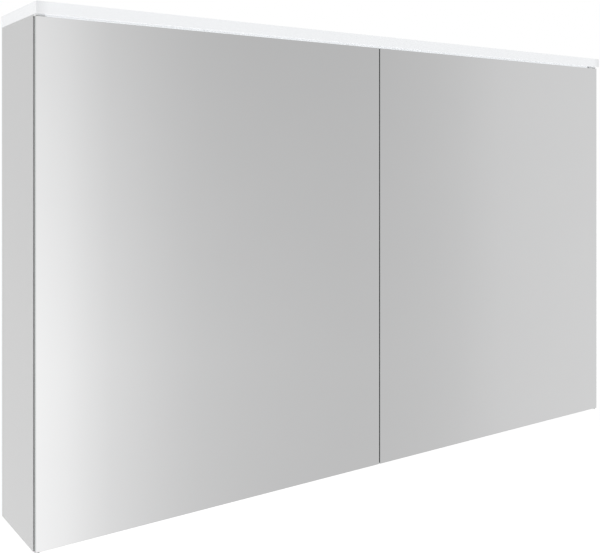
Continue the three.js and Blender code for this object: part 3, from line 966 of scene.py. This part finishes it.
# How much darker each direction is above eye level, and the heights in degrees where
# that starts and is reached. It runs on a little past both.
UPPER_SHADE = [
    (-180, 0.97),
    (5, 0.93),
    (19, 0.85),
    (28, 0.89),
    (39.5, 0.94),
    (48, 0.99),
    (180, 0.98),
]
SHADE_FROM = math.sin(math.radians(-9))
SHADE_TO = math.sin(math.radians(6.5))
SHADE_LEAST = -0.25
SHADE_MOST = 1.2


def around(stops):
    """Stops by direction in degrees, as stops from 0 to 1."""
    return [((degrees + 180) / 360, level) for degrees, level in stops]


def world():
    """A studio surround that reflections and light see, with a white backdrop for the camera."""
    made = bpy.data.worlds.new("studio")
    bpy.context.scene.world = made
    made.use_nodes = True
    tree = made.node_tree
    direction = add(tree, "ShaderNodeTexCoord").outputs["Generated"]
    axes = add(tree, "ShaderNodeSeparateXYZ", {"Vector": direction})
    forward = math_node(tree, "MULTIPLY", axes.outputs["Y"], -1.0)
    azimuth = math_node(tree, "ARCTAN2", axes.outputs["X"], forward)
    turn = spread_from(tree, azimuth, -math.pi, math.pi)
    base = ramp(tree, turn, around(SURROUND), "B_SPLINE")
    shade = ramp(tree, turn, around(UPPER_SHADE), "B_SPLINE")
    height = spread_from(tree, axes.outputs["Z"], SHADE_FROM, SHADE_TO)
    above = math_node(tree, "MINIMUM", height, SHADE_MOST)
    above = math_node(tree, "MAXIMUM", above, SHADE_LEAST)
    upper = mix(tree, above, (1, 1, 1, 1), shade, clamp_factor=False)
    toned = mix(tree, 1.0, base, upper, blend_type="MULTIPLY")
    up = spread_from(tree, axes.outputs["Z"], -1.0, 1.0)
    whole = mix(tree, 1.0, toned, ramp(tree, up, BY_HEIGHT, "EASE"), blend_type="MULTIPLY")
    surround = tree.nodes["Background"]
    tree.links.new(whole, surround.inputs["Color"])
    white = add(tree, "ShaderNodeBackground", {"Color": (1, 1, 1, 1), "Strength": 1.0})
    seen = add(tree, "ShaderNodeLightPath").outputs["Is Camera Ray"]
    inputs = {0: seen, 1: surround.outputs[0], 2: white.outputs[0]}
    mixed = add(tree, "ShaderNodeMixShader", inputs)
    tree.links.new(mixed.outputs[0], tree.nodes["World Output"].inputs["Surface"])


FLOOR_HALF_SIZE = 30.0
FLOOR_GLOW = 0.47


def floor():
    """A pale floor, which the mirrors don't see."""
    mesh = bpy.data.meshes.new("floor")
    shape = bmesh.new()
    bmesh.ops.create_grid(shape, x_segments=1, y_segments=1, size=FLOOR_HALF_SIZE)
    bmesh.ops.translate(shape, verts=shape.verts, vec=(0, 0, -FLOOR_DROP))
    shape.to_mesh(mesh)
    shape.free()
    plane = bpy.data.objects.new("floor", mesh)
    bpy.context.scene.collection.objects.link(plane)
    made, tree, shader = material("pale_floor", Roughness=0.8, Emission_Strength=FLOOR_GLOW)
    shader.inputs["Emission Color"].default_value = (1, 1, 1, 1)
    link(tree, shader, Base_Color=tint(tree, noise(tree, 0.6, 2.0), grey(0.86), grey(0.88)))
    mesh.materials.append(made)
    plane.visible_glossy = False


def area_light(name, place, target, size, power):
    """A soft lamp that is seen neither directly nor in the mirrors."""
    data = bpy.data.lights.new(name, "AREA")
    data.shape = "RECTANGLE"
    data.size, data.size_y = size
    data.energy = power
    light = bpy.data.objects.new(name, data)
    light.location = place
    light.rotation_euler = (Vector(target) - Vector(place)).to_track_quat("-Z", "Y").to_euler()
    light.visible_glossy = False
    light.visible_camera = False
    bpy.context.scene.collection.objects.link(light)


# Each lamp's place, target, size in metres and power in watts.
LAMPS = {
    "left_softbox": ((-1.9, -0.1, -0.6), (-0.6, 0.0, 0.2), (1.0, 1.0), 5),
    "top_softbox": ((0.3, -1.0, 2.8), (0.0, 0.0, 0.4), (2.4, 1.2), 6),
    "rear_softbox": ((1.0, 2.6, 1.6), (0.0, 0.0, 0.4), (2.4, 1.6), 12),
}


def camera():
    """A level camera at the front left, a little above the cabinet's middle."""
    data = bpy.data.cameras.new("camera")
    data.lens = CAMERA_LENS
    data.sensor_width = 36.0
    data.shift_y = CAMERA_RISE
    made = bpy.data.objects.new("camera", data)
    made.location = CAMERA_PLACE
    made.rotation_euler = (math.pi / 2, 0, CAMERA_TURN)
    bpy.context.scene.collection.objects.link(made)
    bpy.context.scene.camera = made


camera()
world()
floor()
for lamp, settings in LAMPS.items():
    area_light(lamp, *settings)
bpy.context.scene.view_settings.view_transform = "Standard"

carcass()
canopy()
for side in DOORS:
    door(side)
for node in sorted(NODES):
    if node.startswith("shelf_pin"):
        shelf_pin(node)
    elif node.startswith("shelf"):
        shelf(node)
outlet()
hardware()
